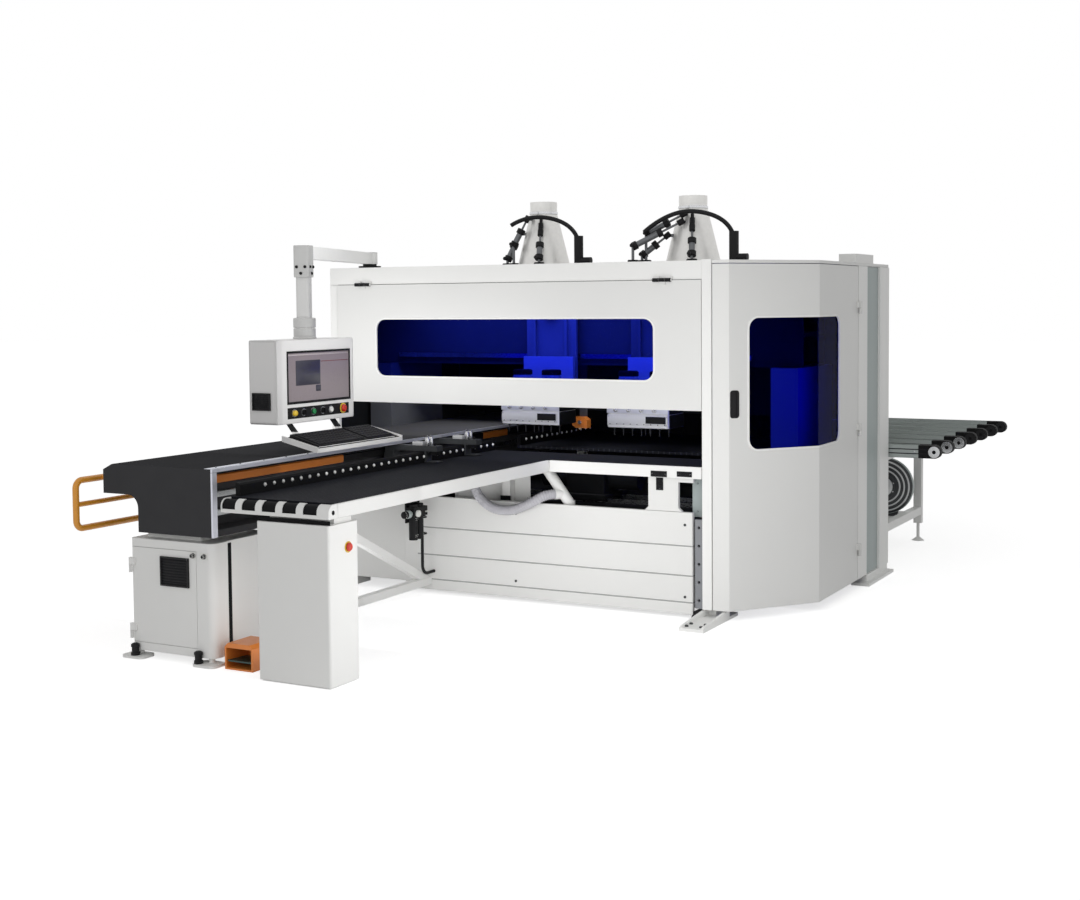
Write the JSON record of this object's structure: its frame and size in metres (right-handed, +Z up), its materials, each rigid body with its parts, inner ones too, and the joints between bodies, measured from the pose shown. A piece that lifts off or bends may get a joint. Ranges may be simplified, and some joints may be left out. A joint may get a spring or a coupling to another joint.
{
  "type": "cnc drilling machine",
  "caption": "Through-feed CNC panel drilling machine: white enclosure with tinted windows, side feed beam with clamps, float table, boom console, drilling heads and belt outfeed",
  "frame": {"origin": "on the floor under the middle of the machine's bounding box", "axes": "+X to the operator's right along the front of the enclosure, +Y from the infeed nose to the outfeed, +Z up"},
  "size_m": [3.8599, 6.786, 2.575],
  "materials": {
    "white_paint": "satin powder coat",
    "arm_grey": "anodised",
    "grey_paint": "satin powder coat",
    "charcoal_paint": "fine textured coat",
    "orange_paint": "satin coat",
    "rail_yellow": "gloss coat",
    "ground_steel": "ground",
    "bright_steel": "bright",
    "aluminium": "brushed",
    "table_black": "matt laminate",
    "black_plastic": "matt",
    "grey_plastic": "matt",
    "red_plastic": "gloss",
    "green_plastic": "gloss",
    "pedal_green": "satin coat",
    "tinted_glass": "polished",
    "screen_glass": "polished",
    "belt_rubber": "matt",
    "hose_plastic": "ribbed"
  },
  "bodies": {
    "machine": {"base_frame": "white_paint", "portal_columns": "white_paint", "crossbeam": "white_paint", "linear_rails": "ground_steel", "roof_cover": "white_paint", "front_frame": "white_paint", "enclosure_panels": "white_paint", "lower_front_panels": "white_paint", "panel_hinges": "white_paint", "table_tops": "table_black", "table_edge_trim": "white_paint", "support_tubes": "white_paint", "leg_box": "white_paint", "side_fence": "black_plastic", "feed_beam_cover": "charcoal_paint", "feed_beam_frame": "aluminium", "beam_strip": "orange_paint", "control_cabinet": "white_paint", "guard_rail": "rail_yellow", "arm_base": "arm_grey", "dust_cones": "white_paint", "gate_cylinders": "bright_steel", "hood_conduits": "black_plastic", "outfeed_frame": "aluminium", "outfeed_belts": "belt_rubber", "ring_blower": "grey_paint", "floor_feet": "white_paint", "air_unit": "black_plastic", "suction_hose": "hose_plastic", "pedal_guard": "orange_paint"},
    "hatch": {"hatch_panel": "white_paint", "hatch_window": "tinted_glass"},
    "end_door_leaf": {"end_door": "white_paint", "end_door_window": "tinted_glass"},
    "control_door_leaf": {"control_door": "white_paint"},
    "arm": {"swing_arm": "arm_grey"},
    "console": {"console_housing": "grey_paint", "console_screen": "screen_glass", "keyboard_tray": "grey_paint"},
    "left_selector_knob": {"left_selector": "black_plastic"},
    "right_selector_knob": {"right_selector": "black_plastic"},
    "green_cap": {"green_button": "green_plastic"},
    "console_stop_cap": {"console_stop": "red_plastic"},
    "leg_stop_cap": {"leg_stop": "red_plastic"},
    "pedal": {"foot_pedal": "pedal_green"},
    "rollers": {"nose_rollers": "black_plastic"},
    "front_clamp": {"front_clamp_carriage": "aluminium"},
    "rear_clamp": {"rear_clamp_carriage": "aluminium"},
    "front_jaw": {"front_clamp_jaw": "black_plastic"},
    "rear_jaw": {"rear_clamp_jaw": "black_plastic"},
    "left_head": {"left_head_carriage": "white_paint"},
    "right_head": {"right_head_carriage": "white_paint"},
    "left_block": {"left_drill_block": "aluminium"},
    "right_block": {"right_drill_block": "aluminium"},
    "left_bits": {"left_drill_bits": "ground_steel"},
    "right_bits": {"right_drill_bits": "ground_steel"},
    "lower_unit": {"lower_head": "aluminium"},
    "lower_bits": {"lower_drill_bits": "ground_steel"},
    "drive_shaft": {"outfeed_drive_shaft": "ground_steel"},
    "idlers": {"outfeed_idlers": "black_plastic"}
  },
  "joints": [
    {"name": "hatch_swing", "type": "hinge", "parent": "machine", "child": "hatch", "pos_m": [-0.31, -1.0695, 2.0365], "axis": [-1, 0, 0], "range_deg": [0, 80]},
    {"name": "end_door_swing", "type": "hinge", "parent": "machine", "child": "end_door_leaf", "pos_m": [1.583, 0.289, 1.1], "axis": [0, 0, 1], "range_deg": [0, 100]},
    {"name": "control_door_swing", "type": "hinge", "parent": "machine", "child": "control_door_leaf", "pos_m": [-1.419, -3.283, 0.345], "axis": [0, 0, -1], "range_deg": [0, 110]},
    {"name": "arm_swing", "type": "hinge", "parent": "machine", "child": "arm", "pos_m": [-1.43, -0.951, 2.2], "axis": [0, 0, 1], "range_deg": [-40, 10]},
    {"name": "console_swivel", "type": "hinge", "parent": "arm", "child": "console", "pos_m": [-1.04, -2.201, 1.83], "axis": [0, 0, 1], "range_deg": [-100, 60]},
    {"name": "left_selector_turn", "type": "hinge", "parent": "console", "child": "left_selector_knob", "pos_m": [-0.94, -2.353, 1.284], "axis": [1, 0, 0], "range_deg": [-45, 45]},
    {"name": "right_selector_turn", "type": "hinge", "parent": "console", "child": "right_selector_knob", "pos_m": [-0.94, -2.169, 1.284], "axis": [1, 0, 0], "range_deg": [-45, 45]},
    {"name": "green_push", "type": "slide", "parent": "console", "child": "green_cap", "axis": [-1, 0, 0], "range_m": [0, 0.004], "stiffness_N_per_m": 600},
    {"name": "console_stop_push", "type": "slide", "parent": "console", "child": "console_stop_cap", "axis": [-1, 0, 0], "range_m": [0, 0.005], "stiffness_N_per_m": 600},
    {"name": "leg_stop_push", "type": "slide", "parent": "machine", "child": "leg_stop_cap", "axis": [-1, 0, 0], "range_m": [0, 0.005], "stiffness_N_per_m": 600},
    {"name": "pedal_press", "type": "hinge", "parent": "machine", "child": "pedal", "pos_m": [-0.688, -3.12, 0.034], "axis": [1, 0, 0], "range_deg": [0, 8], "stiffness_Nm_per_rad": 30, "springref_deg": -5.73},
    {"name": "roller_spin", "type": "hinge", "parent": "machine", "child": "rollers", "pos_m": [-0.3535, -3.353, 0.878], "axis": [1, 0, 0], "continuous": true},
    {"name": "front_clamp_feed", "type": "slide", "parent": "machine", "child": "front_clamp", "axis": [0, 1, 0], "range_m": [-1.5, 0.2]},
    {"name": "rear_clamp_feed", "type": "slide", "parent": "machine", "child": "rear_clamp", "axis": [0, 1, 0], "range_m": [-0.2, 1.5]},
    {"name": "front_jaw_grip", "type": "slide", "parent": "front_clamp", "child": "front_jaw", "axis": [0, 0, -1], "range_m": [0, 0.03], "stiffness_N_per_m": 1500, "springref_m": -0.008},
    {"name": "rear_jaw_grip", "type": "slide", "parent": "rear_clamp", "child": "rear_jaw", "axis": [0, 0, -1], "range_m": [0, 0.03], "stiffness_N_per_m": 1500, "springref_m": -0.008},
    {"name": "left_head_cross", "type": "slide", "parent": "machine", "child": "left_head", "axis": [1, 0, 0], "range_m": [0, 0.33]},
    {"name": "right_head_cross", "type": "slide", "parent": "machine", "child": "right_head", "axis": [1, 0, 0], "range_m": [-0.33, 0.35]},
    {"name": "left_head_lower", "type": "slide", "parent": "left_head", "child": "left_block", "axis": [0, 0, -1], "range_m": [0, 0.11]},
    {"name": "right_head_lower", "type": "slide", "parent": "right_head", "child": "right_block", "axis": [0, 0, -1], "range_m": [0, 0.11]},
    {"name": "left_bits_plunge", "type": "slide", "parent": "left_block", "child": "left_bits", "axis": [0, 0, -1], "range_m": [0, 0.06], "stiffness_N_per_m": 700, "springref_m": -0.03},
    {"name": "right_bits_plunge", "type": "slide", "parent": "right_block", "child": "right_bits", "axis": [0, 0, -1], "range_m": [0, 0.06], "stiffness_N_per_m": 700, "springref_m": -0.03},
    {"name": "lower_head_cross", "type": "slide", "parent": "machine", "child": "lower_unit", "axis": [1, 0, 0], "range_m": [-0.35, 0.45]},
    {"name": "lower_bits_plunge", "type": "slide", "parent": "lower_unit", "child": "lower_bits", "axis": [0, 0, 1], "range_m": [0, 0.1]},
    {"name": "outfeed_drive_spin", "type": "hinge", "parent": "machine", "child": "drive_shaft", "pos_m": [-0.6697, 2.219, 0.85], "axis": [0, 1, 0], "continuous": true},
    {"name": "outfeed_idler_spin", "type": "hinge", "parent": "machine", "child": "idlers", "pos_m": [1.8837, 2.219, 0.85], "axis": [0, 1, 0], "continuous": true}
  ],
  "couplings": [
    {"joint": "outfeed_idler_spin", "follows": "outfeed_drive_spin", "ratio": 1}
  ]
}
